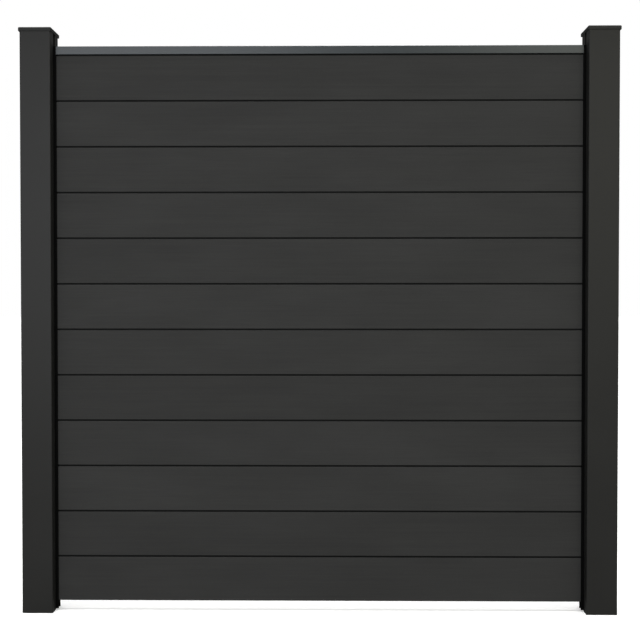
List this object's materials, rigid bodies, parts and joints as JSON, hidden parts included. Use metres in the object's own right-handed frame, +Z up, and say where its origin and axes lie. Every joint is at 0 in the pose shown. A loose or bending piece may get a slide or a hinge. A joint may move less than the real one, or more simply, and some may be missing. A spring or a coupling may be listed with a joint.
{
  "type": "composite fence panel",
  "caption": "Composite fence panel: horizontal tongue-and-groove boards stacked between slotted square posts with flat caps, under a metal top rail.",
  "frame": {"origin": "on the ground, midway between the posts and midway through their depth", "axes": "+Z up, +X along the fence to the right as seen from the front, front faces -Y"},
  "size_m": [1.952, 0.108, 1.911],
  "materials": {
    "composite_board": "matt, finely brushed",
    "post_powder_coat": "satin powder coat",
    "cap_powder_coat": "satin powder coat",
    "rail_metal": "satin grey",
    "seal_rubber": "matt black",
    "support_plastic": "moulded black",
    "screw_steel": "stainless"
  },
  "bodies": {
    "root": {"board_01": "composite_board", "board_02": "composite_board", "board_03": "composite_board", "board_04": "composite_board", "board_05": "composite_board", "board_06": "composite_board", "board_07": "composite_board", "board_08": "composite_board", "board_09": "composite_board", "board_10": "composite_board", "board_11": "composite_board", "board_12": "composite_board", "left_back_seal": "seal_rubber", "left_board_support": "support_plastic", "left_front_seal": "seal_rubber", "left_post": "post_powder_coat", "left_post_cap": "cap_powder_coat", "left_slot_cover": "post_powder_coat", "left_support_screw": "screw_steel", "right_back_seal": "seal_rubber", "right_board_support": "support_plastic", "right_front_seal": "seal_rubber", "right_post": "post_powder_coat", "right_post_cap": "cap_powder_coat", "right_slot_cover": "post_powder_coat", "right_support_screw": "screw_steel", "top_rail": "rail_metal"}
  },
  "joints": []
}
